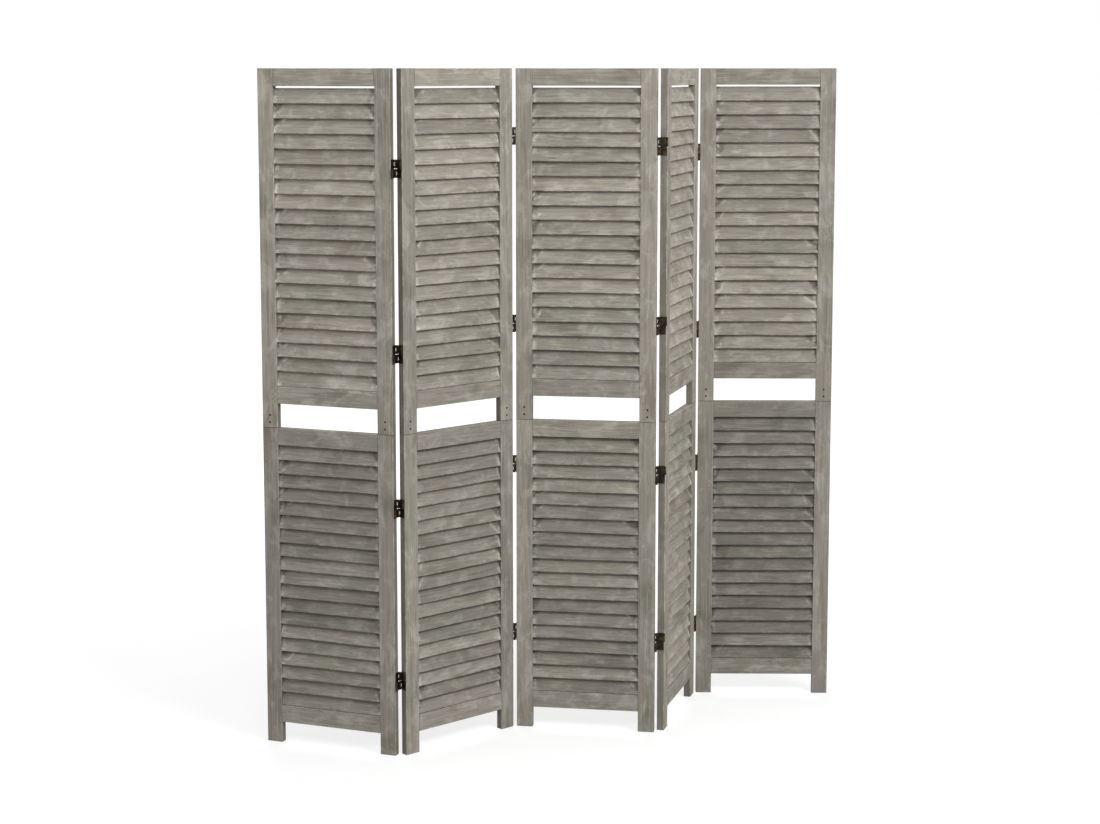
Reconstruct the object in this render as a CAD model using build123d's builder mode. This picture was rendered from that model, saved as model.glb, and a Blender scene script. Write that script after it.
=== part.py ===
from build123d import *
import os
from dataclasses import dataclass
from math import cos, radians, sin

# Folding screen of five louvred panels. Lengths are in millimetres and angles in degrees.
# X runs along the screen, Y from front to back, Z up; the origin is on the floor, mid-screen.

# Frame boards
PANEL_WIDTH = 350.0
FRAME_THICK = 18.0
STILE_WIDTH = 40.5
RAIL_HEIGHT = 42.0
UPPER_HEIGHT = 870.0
LOWER_HEIGHT = 790.0
WINDOW_HEIGHT = 60.0
FOOT_HEIGHT = 52.0
ARRIS = 0.8

# Stub tenons on the rails
TENON_DOWEL_GAP = 3.25
TENON_THICK = 8.0
TENON_SHOULDER = 6.0
GLUE_GAP = 0.1

# Louvre slats, let into grooves in the stiles
SLAT_WIDTH = 37.5
SLAT_THICK = 4.5
SLAT_TILT = 18.5
SLAT_EDGE_RADIUS = 1.0
GROOVE_DEPTH = 5.0
GROOVE_PLAY = 0.15
SLAT_REST_GAP = 0.3
UPPER_SLAT_COUNT = 20
LOWER_SLAT_COUNT = 19
UPPER_TOP_SLIT = 4.5
LOWER_TOP_SLIT = 0.5

# Dowels that join the half frames, and the screws across them
DOWEL_RADIUS = 5.0
DOWEL_LENGTH = 90.0
DOWEL_CHAMFER = 1.0
DOWEL_PLAY = 0.05
DOWEL_END_GAP = 1.0
JOINING_SCREW_HEIGHTS = (13.0, 31.0)

# Wood screws, countersunk with a cross recess
SCREW_LENGTH = 14.0
SCREW_SHANK_RADIUS = 1.3
SCREW_HEAD_RADIUS = 2.5
SCREW_HEAD_ANGLE = 82.0
SCREW_TIP_LENGTH = 3.0
SCREW_TIP_RADIUS = 0.2
SCREW_SEAT_PLAY = 0.03
PILOT_END_GAP = 0.5
RECESS_LENGTH = 2.6
RECESS_WIDTH = 0.6
RECESS_DEPTH = 0.7

# Two-way hinges in the gap between two panels
PANEL_GAP = 9.0
PIN_BEYOND_FACE = 0.3
HINGE_HEIGHT = 44.0
HINGE_MID_GAP = 0.8
LEAF_WIDTH = 16.0
LEAF_THICK = 1.4
LEAF_HOLE_PLAY = 0.1
LEAF_SCREWS = ((3.5, 15.5), (-3.5, 6.5), (3.5, -6.5), (-3.5, -15.5))
KNUCKLE_RADIUS = 2.6
KNUCKLE_PLAY = 0.3
LINK_KNUCKLE_HEIGHT = 7.0
LINK_THICK = 1.4
LINK_CLEARANCE = 0.4
PIN_RADIUS = 1.25
PIN_SEAT_PLAY = 0.02
PIN_RUNNING_PLAY = 0.05
PIN_HEAD_RADIUS = 1.9
PIN_HEAD_HEIGHT = 0.6

# Each fold, left to right: the side it closes to, its angle from flat and its hinge centres,
# which are measured down from the top of the screen
BACK = 1
FRONT = -1
MIDDLE_PANEL = 3
MIDDLE_TURN = -25.2

# Halves of a panel or of a hinge
UPPER = 1
LOWER = -1


@dataclass(frozen=True)
class Fold:
    """The fold between a left panel and the panel on its right."""

    left: int
    side: int
    angle: float
    hinge_drops: tuple

    @property
    def right(self):
        return self.left + 1

    @property
    def outer(self):
        """The panel further from the middle panel."""
        return self.left if self.right <= MIDDLE_PANEL else self.right

    @property
    def carrier_half(self):
        """Which links turn with the outer panel when the fold closes to its side."""
        return self.side if self.outer == self.right else -self.side

    @property
    def hinge_heights(self):
        return [SCREEN_HEIGHT - drop for drop in self.hinge_drops]


FOLDS = (
    Fold(1, BACK, 64.0, (235.0, 676.0, 1050.0, 1476.0)),
    Fold(2, FRONT, 52.1, (165.0, 629.0, 983.0, 1414.0)),
    Fold(3, BACK, 83.0, (189.0, 630.0, 1004.0, 1430.0)),
    Fold(4, FRONT, 74.8, (216.0, 680.0, 1035.0, 1471.0)),
)

# Sizes that follow from the ones above
SCREEN_HEIGHT = UPPER_HEIGHT + LOWER_HEIGHT
OPENING_WIDTH = PANEL_WIDTH - 2 * STILE_WIDTH
TENON_LENGTH = STILE_WIDTH / 2 - DOWEL_RADIUS - TENON_DOWEL_GAP
TENON_HEIGHT = RAIL_HEIGHT - 2 * TENON_SHOULDER
SLAT_RISE = SLAT_WIDTH * cos(radians(SLAT_TILT)) + SLAT_THICK * sin(radians(SLAT_TILT))
SLAT_LENGTH = OPENING_WIDTH + 2 * (GROOVE_DEPTH - GROOVE_PLAY)
PIN_REACH = FRAME_THICK / 2 + PIN_BEYOND_FACE
PIN_OUT = PANEL_GAP / 2
HINGE_HALF_HEIGHT = (HINGE_HEIGHT - HINGE_MID_GAP) / 2
KNUCKLE_STACK = HINGE_HALF_HEIGHT - 2 * PIN_HEAD_HEIGHT
LEAF_KNUCKLE_HEIGHT = (KNUCKLE_STACK - LINK_KNUCKLE_HEIGHT) / 2 - KNUCKLE_PLAY
SCREW_HEAD_DEPTH = (SCREW_HEAD_RADIUS - SCREW_SHANK_RADIUS) / (
    sin(radians(SCREW_HEAD_ANGLE / 2)) / cos(radians(SCREW_HEAD_ANGLE / 2))
)


@dataclass(frozen=True)
class Half:
    """One half frame of a panel: its stiles, its two rails and its louvre slats."""

    name: str
    half: int
    foot: float
    height: float
    rail_base: float
    slat_count: int
    top_slit: float

    @property
    def rail_middles(self):
        return (
            self.rail_base + RAIL_HEIGHT / 2,
            self.foot + self.height - RAIL_HEIGHT / 2,
        )

    @property
    def slat_middles(self):
        lowest = self.rail_base + RAIL_HEIGHT + SLAT_REST_GAP + SLAT_RISE / 2
        highest = self.foot + self.height - RAIL_HEIGHT - self.top_slit - SLAT_RISE / 2
        pitch = (highest - lowest) / (self.slat_count - 1)
        return [lowest + pitch * i for i in range(self.slat_count)]


UPPER_FRAME = Half(
    "upper", UPPER, LOWER_HEIGHT, UPPER_HEIGHT, LOWER_HEIGHT + WINDOW_HEIGHT,
    UPPER_SLAT_COUNT, UPPER_TOP_SLIT,
)
LOWER_FRAME = Half(
    "lower", LOWER, 0.0, LOWER_HEIGHT, FOOT_HEIGHT, LOWER_SLAT_COUNT, LOWER_TOP_SLIT
)


@dataclass(frozen=True)
class HingedEdge:
    """A panel edge that carries hinges. In its plane X runs across the edge and Y up."""

    plane: Plane
    heights: list
    open_half: int


# Planes of a panel, whose own X runs from its left edge to its right edge, and Y to the back
def level(panel, height):
    """Horizontal plane at a height above the floor."""
    return panel.offset(height)


def across(panel, x):
    """Upright plane across the panel, facing its right edge: X to the back, Y up."""
    origin = panel.from_local_coords((x, 0, 0))
    return Plane(origin=origin, x_dir=panel.y_dir, z_dir=panel.x_dir)


def front_face(panel):
    """Plane of the panel's front face, facing forward: X to the right, Y up."""
    origin = panel.from_local_coords((0, -FRAME_THICK / 2, 0))
    return Plane(origin=origin, x_dir=panel.x_dir, z_dir=-panel.y_dir)


def edge_plane(panel, at_right):
    """Plane of the panel's left or right edge, facing outward, with Y up."""
    if at_right:
        return across(panel, PANEL_WIDTH)
    return Plane(origin=panel.origin, x_dir=-panel.y_dir, z_dir=-panel.x_dir)


def place_neighbour(panel, at_right, turn, side):
    """The panel that shares the pin axis on one side of this panel's edge, at a turn in plan."""
    pin_x = PANEL_WIDTH + PIN_OUT if at_right else -PIN_OUT
    far_x = -PIN_OUT if at_right else PANEL_WIDTH + PIN_OUT
    pin = panel.from_local_coords((pin_x, side * PIN_REACH, 0))
    turned = Plane(origin=(0, 0, 0), x_dir=(cos(radians(turn)), sin(radians(turn)), 0))
    origin = pin - turned.from_local_coords((far_x, side * PIN_REACH, 0))
    return Plane(origin=origin, x_dir=turned.x_dir)


def place_panels():
    """Every panel's plane at rest, with the screen's box centred on the origin."""
    turns = {MIDDLE_PANEL: MIDDLE_TURN}
    for fold in FOLDS[MIDDLE_PANEL - 1 :]:
        turns[fold.right] = turns[fold.left] + fold.side * fold.angle
    for fold in reversed(FOLDS[: MIDDLE_PANEL - 1]):
        turns[fold.left] = turns[fold.right] - fold.side * fold.angle

    middle_x = (cos(radians(MIDDLE_TURN)), sin(radians(MIDDLE_TURN)), 0)
    panels = {MIDDLE_PANEL: Plane(origin=(0, 0, 0), x_dir=middle_x)}
    for fold in FOLDS[MIDDLE_PANEL - 1 :]:
        panels[fold.right] = place_neighbour(
            panels[fold.left], True, turns[fold.right], fold.side
        )
    for fold in reversed(FOLDS[: MIDDLE_PANEL - 1]):
        panels[fold.left] = place_neighbour(
            panels[fold.right], False, turns[fold.left], fold.side
        )

    # The outermost round corners and knuckles of every panel, as centre and radius
    rounds = []
    for number, panel in panels.items():
        for x in (ARRIS, PANEL_WIDTH - ARRIS):
            for y in (ARRIS - FRAME_THICK / 2, FRAME_THICK / 2 - ARRIS):
                rounds.append((panel.from_local_coords((x, y, 0)), ARRIS))
        for fold in FOLDS:
            if number in (fold.left, fold.right):
                pin_x = PANEL_WIDTH + PIN_OUT if number == fold.left else -PIN_OUT
                for y in (-PIN_REACH, PIN_REACH):
                    rounds.append((panel.from_local_coords((pin_x, y, 0)), KNUCKLE_RADIUS))
    mid_x = (min(p.X - r for p, r in rounds) + max(p.X + r for p, r in rounds)) / 2
    mid_y = (min(p.Y - r for p, r in rounds) + max(p.Y + r for p, r in rounds)) / 2
    return {
        number: Plane(origin=panel.origin - Vector(mid_x, mid_y, 0), x_dir=panel.x_dir)
        for number, panel in panels.items()
    }


PANELS = place_panels()


def hinged_edges(number):
    """The edges of a panel that carry hinges."""
    edges = []
    for fold in FOLDS:
        if number in (fold.left, fold.right):
            plane = edge_plane(PANELS[number], at_right=number == fold.left)
            open_half = -fold.carrier_half if number == fold.outer else 0
            edges.append(HingedEdge(plane, fold.hinge_heights, open_half))
    return edges


def leaf_screw_places(edge, height):
    """Where the four screws of the leaf at one height enter, on the panel's edge."""
    return [edge.plane * Pos(x, height + rise) for x, rise in LEAF_SCREWS]


def joining_screw_places(panel):
    """Where the screws across the two joining dowels enter, on the panel's front face."""
    return [
        front_face(panel) * Pos(x, LOWER_HEIGHT + rise)
        for x in (STILE_WIDTH / 2, PANEL_WIDTH - STILE_WIDTH / 2)
        for rise in JOINING_SCREW_HEIGHTS
    ]


def hinge_half_base(height, half):
    """Lowest point of a hinge's upper or lower half, for a hinge centred at a height."""
    if half == UPPER:
        return height + HINGE_MID_GAP / 2
    return height - HINGE_MID_GAP / 2 - HINGE_HALF_HEIGHT


def pin_level(edge, reach, height):
    """Horizontal plane at a pin of an edge: its X runs across the edge, its Y into it."""
    origin = edge.from_local_coords((reach, height, PIN_OUT))
    return Plane(origin=origin, x_dir=edge.x_dir)


def leaf_knuckle_bases(base):
    """Lowest points of the two leaf knuckles in a hinge half."""
    low = base + PIN_HEAD_HEIGHT
    return low, low + KNUCKLE_STACK - LEAF_KNUCKLE_HEIGHT


# Boards of a half frame
def make_stiles(number, frame):
    """Left and right stile, with the mortises, louvre grooves and screw holes."""
    panel = PANELS[number]
    with BuildPart() as stiles:
        with BuildSketch(level(panel, frame.foot)):
            with Locations((STILE_WIDTH / 2, 0), (PANEL_WIDTH - STILE_WIDTH / 2, 0)):
                Rectangle(STILE_WIDTH, FRAME_THICK)
        extrude(amount=frame.height)
        fillet(stiles.edges(), ARRIS)

        # Mortises and grooves are cut across both stiles at once, over the open middle
        mortise_depth = TENON_LENGTH + GLUE_GAP
        with BuildSketch(across(panel, STILE_WIDTH - mortise_depth)):
            with Locations(*[(0, z) for z in frame.rail_middles]):
                Rectangle(TENON_THICK + 2 * GLUE_GAP, TENON_HEIGHT + 2 * GLUE_GAP)
        extrude(amount=OPENING_WIDTH + 2 * mortise_depth, mode=Mode.SUBTRACT)

        with BuildSketch(across(panel, STILE_WIDTH - GROOVE_DEPTH)):
            with Locations(*[(0, z) for z in frame.slat_middles]):
                RectangleRounded(
                    SLAT_THICK + 2 * GROOVE_PLAY,
                    SLAT_WIDTH + 2 * GROOVE_PLAY,
                    SLAT_EDGE_RADIUS + GROOVE_PLAY,
                    rotation=-SLAT_TILT,
                )
        extrude(amount=OPENING_WIDTH + 2 * GROOVE_DEPTH, mode=Mode.SUBTRACT)

        with BuildSketch(level(panel, LOWER_HEIGHT)):
            with Locations((STILE_WIDTH / 2, 0), (PANEL_WIDTH - STILE_WIDTH / 2, 0)):
                Circle(DOWEL_RADIUS + DOWEL_PLAY)
        extrude(amount=frame.half * (DOWEL_LENGTH / 2 + DOWEL_END_GAP), mode=Mode.SUBTRACT)

        for edge in hinged_edges(number):
            for height in edge.heights:
                if frame.foot < height < frame.foot + frame.height:
                    with Locations(*leaf_screw_places(edge, height)):
                        Hole(
                            SCREW_SHANK_RADIUS + SCREW_SEAT_PLAY,
                            depth=SCREW_LENGTH - LEAF_THICK + PILOT_END_GAP,
                        )
        if frame.half == UPPER:
            with Locations(*joining_screw_places(panel)):
                CounterSinkHole(
                    SCREW_SHANK_RADIUS + SCREW_SEAT_PLAY,
                    SCREW_HEAD_RADIUS + SCREW_SEAT_PLAY,
                    depth=SCREW_LENGTH + PILOT_END_GAP,
                    counter_sink_angle=SCREW_HEAD_ANGLE,
                )
    return stiles.part


def make_rails(number, frame):
    """Bottom and top rail between the stiles, with a stub tenon at each end."""
    panel = PANELS[number]
    with BuildPart() as rails:
        with BuildSketch(across(panel, STILE_WIDTH)):
            with Locations(*[(0, z) for z in frame.rail_middles]):
                Rectangle(FRAME_THICK, RAIL_HEIGHT)
        extrude(amount=OPENING_WIDTH)
        fillet(rails.edges().filter_by(Axis(panel.origin, panel.x_dir)), ARRIS)
        with BuildSketch(across(panel, STILE_WIDTH - TENON_LENGTH)):
            with Locations(*[(0, z) for z in frame.rail_middles]):
                Rectangle(TENON_THICK, TENON_HEIGHT)
        extrude(amount=OPENING_WIDTH + 2 * TENON_LENGTH)
    return rails.part


def make_slats(number, frame):
    """The fixed slats of a louvre: low edge to the front, top edge leaning to the back."""
    panel = PANELS[number]
    with BuildPart() as slats:
        with BuildSketch(across(panel, (PANEL_WIDTH - SLAT_LENGTH) / 2)):
            with Locations(*[(0, z) for z in frame.slat_middles]):
                RectangleRounded(
                    SLAT_THICK, SLAT_WIDTH, SLAT_EDGE_RADIUS, rotation=-SLAT_TILT
                )
        extrude(amount=SLAT_LENGTH)
    return slats.part


def make_joining_dowels(number):
    """Dowels between the upper and the lower stiles, drilled for the joining screws."""
    panel = PANELS[number]
    with BuildPart() as dowels:
        with BuildSketch(level(panel, LOWER_HEIGHT - DOWEL_LENGTH / 2)):
            with Locations((STILE_WIDTH / 2, 0), (PANEL_WIDTH - STILE_WIDTH / 2, 0)):
                Circle(DOWEL_RADIUS)
        extrude(amount=DOWEL_LENGTH)
        chamfer(dowels.edges().filter_by(GeomType.CIRCLE), DOWEL_CHAMFER)
        with Locations(*joining_screw_places(panel)):
            Hole(SCREW_SHANK_RADIUS + SCREW_SEAT_PLAY, depth=SCREW_LENGTH + PILOT_END_GAP)
    return dowels.part


# Fasteners and hinge pieces
def make_screw():
    """One countersunk wood screw, its head's face on the origin and its tip below."""
    with BuildPart() as screw:
        with BuildSketch(Plane.XZ):
            with BuildLine():
                Polyline(
                    (0, 0),
                    (SCREW_HEAD_RADIUS, 0),
                    (SCREW_SHANK_RADIUS, -SCREW_HEAD_DEPTH),
                    (SCREW_SHANK_RADIUS, SCREW_TIP_LENGTH - SCREW_LENGTH),
                    (SCREW_TIP_RADIUS, -SCREW_LENGTH),
                    (0, -SCREW_LENGTH),
                    close=True,
                )
            make_face()
        revolve(axis=Axis.Z)
        with BuildSketch(Plane.XY):
            Rectangle(RECESS_LENGTH, RECESS_WIDTH)
            Rectangle(RECESS_WIDTH, RECESS_LENGTH)
        extrude(amount=-RECESS_DEPTH, mode=Mode.SUBTRACT)
    return screw.part


def make_screws(number, screw):
    """All the screws of a panel: through its hinge leaves and across its dowels."""
    panel = PANELS[number]
    places = [
        place * Pos(0, 0, LEAF_THICK)
        for edge in hinged_edges(number)
        for height in edge.heights
        for place in leaf_screw_places(edge, height)
    ]
    with BuildPart() as screws:
        with Locations(*places, *joining_screw_places(panel)):
            add(screw)
    return screws.part


def make_hinge_leaves(number):
    """Leaves on the panel's hinged edges, each with two pairs of knuckles."""
    with BuildPart() as leaves:
        for edge in hinged_edges(number):
            with BuildSketch(edge.plane):
                with Locations(*[(0, height) for height in edge.heights]):
                    Rectangle(LEAF_WIDTH, HINGE_HEIGHT)
            extrude(amount=LEAF_THICK)
            for height in edge.heights:
                for half in (UPPER, LOWER):
                    base = hinge_half_base(height, half)
                    reach = half * PIN_REACH
                    web_middle = -half * (KNUCKLE_RADIUS - LEAF_THICK / 2)
                    for low in leaf_knuckle_bases(base):
                        with BuildSketch(pin_level(edge.plane, reach, low)):
                            Circle(KNUCKLE_RADIUS)
                            with Locations((web_middle, PIN_OUT / 2)):
                                Rectangle(LEAF_THICK, PIN_OUT)
                        extrude(amount=LEAF_KNUCKLE_HEIGHT)
                    with BuildSketch(pin_level(edge.plane, reach, base)):
                        Circle(PIN_RADIUS + PIN_SEAT_PLAY)
                    extrude(amount=HINGE_HALF_HEIGHT, mode=Mode.SUBTRACT)
            for height in edge.heights:
                outer_face = [p * Pos(0, 0, LEAF_THICK) for p in leaf_screw_places(edge, height)]
                with Locations(*outer_face):
                    CounterSinkHole(
                        SCREW_SHANK_RADIUS + LEAF_HOLE_PLAY,
                        SCREW_HEAD_RADIUS + SCREW_SEAT_PLAY,
                        depth=LEAF_THICK,
                        counter_sink_angle=SCREW_HEAD_ANGLE,
                    )
    return leaves.part


def make_hinge_pins(number):
    """The pins that a panel's leaves hold, riveted over at both ends.

    Where a link end would close the loop of four pivots, two studs that stop short of the
    link take the pin's place.
    """
    with BuildPart() as pins:
        for edge in hinged_edges(number):
            for height in edge.heights:
                for half in (UPPER, LOWER):
                    base = hinge_half_base(height, half)
                    reach = half * PIN_REACH
                    head_bases = (base, base + HINGE_HALF_HEIGHT - PIN_HEAD_HEIGHT)
                    for head_base in head_bases:
                        with BuildSketch(pin_level(edge.plane, reach, head_base)):
                            Circle(PIN_HEAD_RADIUS)
                        extrude(amount=PIN_HEAD_HEIGHT)
                    if half == edge.open_half:
                        shanks = [(low, LEAF_KNUCKLE_HEIGHT) for low in leaf_knuckle_bases(base)]
                    else:
                        shanks = [(base + PIN_HEAD_HEIGHT, KNUCKLE_STACK)]
                    for low, length in shanks:
                        with BuildSketch(pin_level(edge.plane, reach, low)):
                            Circle(PIN_RADIUS)
                        extrude(amount=length)
    return pins.part


def make_links(edge_at, half, heights):
    """The links of one fold in one half of its hinges, lying along a panel's edge."""
    plate_length = 2 * (PIN_REACH - KNUCKLE_RADIUS - LINK_CLEARANCE)
    with BuildPart() as links:
        for height in heights:
            low = hinge_half_base(height, half) + PIN_HEAD_HEIGHT
            knuckle_low = low + LEAF_KNUCKLE_HEIGHT + KNUCKLE_PLAY
            with BuildSketch(pin_level(edge_at, 0, low)):
                Rectangle(plate_length, LINK_THICK)
            extrude(amount=KNUCKLE_STACK)
            with BuildSketch(pin_level(edge_at, 0, knuckle_low)):
                Rectangle(2 * PIN_REACH, LINK_THICK)
                with Locations((-PIN_REACH, 0), (PIN_REACH, 0)):
                    Circle(KNUCKLE_RADIUS)
            extrude(amount=LINK_KNUCKLE_HEIGHT)
            with BuildSketch(pin_level(edge_at, 0, knuckle_low)):
                with Locations((-PIN_REACH, 0), (PIN_REACH, 0)):
                    Circle(PIN_RADIUS + PIN_RUNNING_PLAY)
            extrude(amount=LINK_KNUCKLE_HEIGHT, mode=Mode.SUBTRACT)
    return links.part


def save(part, name):
    """Label a piece and write it under its name."""
    part.label = name
    export_step(part, f"parts/{name}.step")


os.makedirs("parts", exist_ok=True)
ONE_SCREW = make_screw()
for panel_number in PANELS:
    prefix = f"panel_{panel_number}"
    for half_frame in (UPPER_FRAME, LOWER_FRAME):
        save(make_stiles(panel_number, half_frame), f"{prefix}_{half_frame.name}_stiles")
        save(make_rails(panel_number, half_frame), f"{prefix}_{half_frame.name}_rails")
        save(make_slats(panel_number, half_frame), f"{prefix}_{half_frame.name}_slats")
    save(make_joining_dowels(panel_number), f"{prefix}_joining_dowels")
    save(make_screws(panel_number, ONE_SCREW), f"{prefix}_screws")
    save(make_hinge_leaves(panel_number), f"{prefix}_hinge_leaves")
    save(make_hinge_pins(panel_number), f"{prefix}_hinge_pins")

for fold in FOLDS:
    inner = fold.left if fold.outer == fold.right else fold.right
    for link_half, half_name in ((UPPER, "upper"), (LOWER, "lower")):
        # The carrier links lie along the outer panel's edge, the others along the inner one's
        host = fold.outer if link_half == fold.carrier_half else inner
        host_edge = edge_plane(PANELS[host], at_right=host == fold.left)
        links = make_links(host_edge, link_half, fold.hinge_heights)
        save(links, f"fold_{fold.left}_{fold.right}_{half_name}_links")
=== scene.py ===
"""Looks of the louvred folding screen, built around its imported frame."""

import logging
import math
import random
from dataclasses import dataclass, field
from enum import Enum
from typing import Iterable, Optional, Sequence, Union

import bpy
from mathutils import Matrix, Vector


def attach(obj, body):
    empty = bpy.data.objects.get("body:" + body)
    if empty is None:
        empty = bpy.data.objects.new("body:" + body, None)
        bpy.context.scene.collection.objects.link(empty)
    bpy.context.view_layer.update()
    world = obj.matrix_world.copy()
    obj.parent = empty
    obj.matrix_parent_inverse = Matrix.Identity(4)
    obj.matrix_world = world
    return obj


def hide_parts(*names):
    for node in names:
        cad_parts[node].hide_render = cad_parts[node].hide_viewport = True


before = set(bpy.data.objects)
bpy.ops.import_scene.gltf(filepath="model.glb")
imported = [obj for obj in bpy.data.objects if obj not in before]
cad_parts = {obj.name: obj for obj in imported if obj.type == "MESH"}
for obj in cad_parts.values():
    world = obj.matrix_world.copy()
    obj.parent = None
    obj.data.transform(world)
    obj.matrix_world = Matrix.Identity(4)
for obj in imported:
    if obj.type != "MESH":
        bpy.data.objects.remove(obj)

LOG = logging.getLogger("folding_screen")
BUMP_STRENGTH = 0.9
SLAT_CHANCE_SEED = 20

Socket = bpy.types.NodeSocket
Operand = Union[Socket, float]
Colour = tuple[float, float, float, float]


class Half(Enum):
    """The two half frames of a panel."""

    UPPER = "upper"
    LOWER = "lower"


def srgb(red: float, green: float, blue: float) -> Colour:
    """Turn a colour as seen on a screen into the linear colour that shaders take.

    Args:
        red: Red from 0 to 255.
        green: Green from 0 to 255.
        blue: Blue from 0 to 255.

    Returns:
        The linear red, green and blue, with full alpha.
    """

    def linear(part: float) -> float:
        """One channel made linear."""
        share = part / 255
        return share / 12.92 if share <= 0.04045 else ((share + 0.055) / 1.055) ** 2.4

    return linear(red), linear(green), linear(blue), 1.0


# Shader nodes


class NodeBench:
    """Adds nodes to one material or node group, and links them as they are added."""

    def __init__(self, tree: bpy.types.NodeTree) -> None:
        """Keep the tree that the nodes go into.

        Args:
            tree: The node tree of a material, a world or a node group.
        """
        self.tree = tree

    def add(self, kind: str, **settings: object) -> bpy.types.Node:
        """Add one node.

        Args:
            kind: The node's type, such as ShaderNodeMath.
            settings: Properties to set on it.

        Returns:
            The new node.
        """
        node = self.tree.nodes.new(kind)
        for name, value in settings.items():
            setattr(node, name, value)
        return node

    def feed(self, socket: Socket, value: Union[Operand, Sequence[float]]) -> None:
        """Link a socket into another, or set it to a plain value.

        Args:
            socket: The input socket.
            value: An output socket to link, or a number, vector or colour to set.
        """
        if isinstance(value, bpy.types.NodeSocket):
            self.tree.links.new(value, socket)
        else:
            socket.default_value = value

    def math(
        self, operation: str, first: Operand, second: Operand = 0.0, clamp: bool = False
    ) -> Socket:
        """Add a math node.

        Args:
            operation: The node's operation, such as MULTIPLY.
            first: Its first value.
            second: Its second value.
            clamp: Whether the result is kept between 0 and 1.

        Returns:
            The result socket.
        """
        node = self.add("ShaderNodeMath", operation=operation, use_clamp=clamp)
        self.feed(node.inputs[0], first)
        self.feed(node.inputs[1], second)
        return node.outputs[0]

    def weigh(
        self, first: Operand, first_share: float, second: Operand, second_share: float
    ) -> Socket:
        """Add two values, each by its own share.

        Args:
            first: The first value.
            first_share: What the first is multiplied by.
            second: The second value.
            second_share: What the second is multiplied by.

        Returns:
            The sum's socket.
        """
        return self.math(
            "ADD",
            self.math("MULTIPLY", first, first_share),
            self.math("MULTIPLY", second, second_share),
        )

    def smooth(
        self, value: Operand, low: Operand, high: Operand, start: Operand = 0.0, end: Operand = 1.0
    ) -> Socket:
        """Map a value from one span to another with soft ends.

        Args:
            value: What is mapped.
            low: The value that gives start.
            high: The value that gives end.
            start: The result at low.
            end: The result at high.

        Returns:
            The mapped value's socket.
        """
        node = self.add("ShaderNodeMapRange", interpolation_type="SMOOTHSTEP")
        for socket, amount in zip(node.inputs, (value, low, high, start, end)):
            self.feed(socket, amount)
        return node.outputs[0]

    def vector(self, x: Operand, y: Operand, z: Operand) -> Socket:
        """Combine three values into a vector.

        Args:
            x: The first part.
            y: The second part.
            z: The third part.

        Returns:
            The vector's socket.
        """
        node = self.add("ShaderNodeCombineXYZ")
        for socket, amount in zip(node.inputs, (x, y, z)):
            self.feed(socket, amount)
        return node.outputs[0]

    def parts(self, vector: Socket) -> tuple[Socket, Socket, Socket]:
        """Split a vector.

        Args:
            vector: The vector's socket.

        Returns:
            Its three parts.
        """
        node = self.add("ShaderNodeSeparateXYZ")
        self.feed(node.inputs[0], vector)
        return node.outputs[0], node.outputs[1], node.outputs[2]

    def noise(
        self,
        place: Socket,
        scale: Operand = 1.0,
        detail: float = 3.0,
        roughness: float = 0.5,
        twist: Operand = 0.0,
    ) -> Socket:
        """Add a 3-D noise.

        Args:
            place: Where it is read.
            scale: Its scale.
            detail: How many finer layers it has.
            roughness: How strong the finer layers are.
            twist: How far it is distorted.

        Returns:
            The noise value's socket, about 0.5 on average.
        """
        node = self.add("ShaderNodeTexNoise", noise_dimensions="3D")
        self.feed(node.inputs["Vector"], place)
        self.feed(node.inputs["Scale"], scale)
        self.feed(node.inputs["Detail"], detail)
        self.feed(node.inputs["Roughness"], roughness)
        self.feed(node.inputs["Distortion"], twist)
        return node.outputs["Fac"]

    def blend(
        self,
        share: Operand,
        under: Union[Socket, Sequence[float]],
        over: Union[Socket, Sequence[float]],
        kind: str = "MIX",
    ) -> Socket:
        """Mix two colours.

        Args:
            share: How much of the second colour there is.
            under: The first colour.
            over: The second colour.
            kind: The blend type.

        Returns:
            The mixed colour's socket.
        """
        node = self.add("ShaderNodeMix", data_type="RGBA", blend_type=kind)
        self.feed(node.inputs["Factor"], share)
        colours = [s for s in node.inputs if s.type == "RGBA"]
        self.feed(colours[0], under)
        self.feed(colours[1], over)
        return next(s for s in node.outputs if s.type == "RGBA")

    def group(self, name: str, **values: Operand) -> bpy.types.Node:
        """Place a node group and feed its inputs.

        Args:
            name: The group's name.
            values: Its inputs, with spaces written as underscores.

        Returns:
            The group node.
        """
        node = self.add("ShaderNodeGroup")
        node.node_tree = bpy.data.node_groups[name]
        for socket, value in values.items():
            self.feed(node.inputs[socket.replace("_", " ")], value)
        return node


class ShaderGroup:
    """A node group with named inputs and outputs, built once."""

    def __init__(self, name: str, inputs: dict[str, float], outputs: dict[str, str]) -> None:
        """Make the group's sockets.

        Args:
            name: The group's name.
            inputs: Each input's name and plain value.
            outputs: Each output's name and socket type.
        """
        tree = bpy.data.node_groups.new(name, "ShaderNodeTree")
        for socket, value in inputs.items():
            made = tree.interface.new_socket(socket, in_out="INPUT", socket_type="NodeSocketFloat")
            made.default_value = value
        for socket, kind in outputs.items():
            tree.interface.new_socket(socket, in_out="OUTPUT", socket_type=kind)
        self.bench = NodeBench(tree)
        self.source = self.bench.add("NodeGroupInput")
        self.sink = self.bench.add("NodeGroupOutput")

    def value(self, name: str) -> Socket:
        """The socket that carries one of the group's inputs."""
        return self.source.outputs[name]

    def give(self, name: str, socket: Socket) -> None:
        """Link a result to one of the group's outputs."""
        self.bench.feed(self.sink.inputs[name], socket)


BOARD_INPUTS = {"Along": 0.0, "Across": 0.0, "Depth": 0.0, "Seed": 0.0}
BOARD_HALVES = {"Half Length": 0.4, "Half Width": 0.02, "Half Depth": 0.009}
FINISH_OUTPUTS = {
    "Color": "NodeSocketColor",
    "Roughness": "NodeSocketFloat",
    "Height": "NodeSocketFloat",
}

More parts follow.
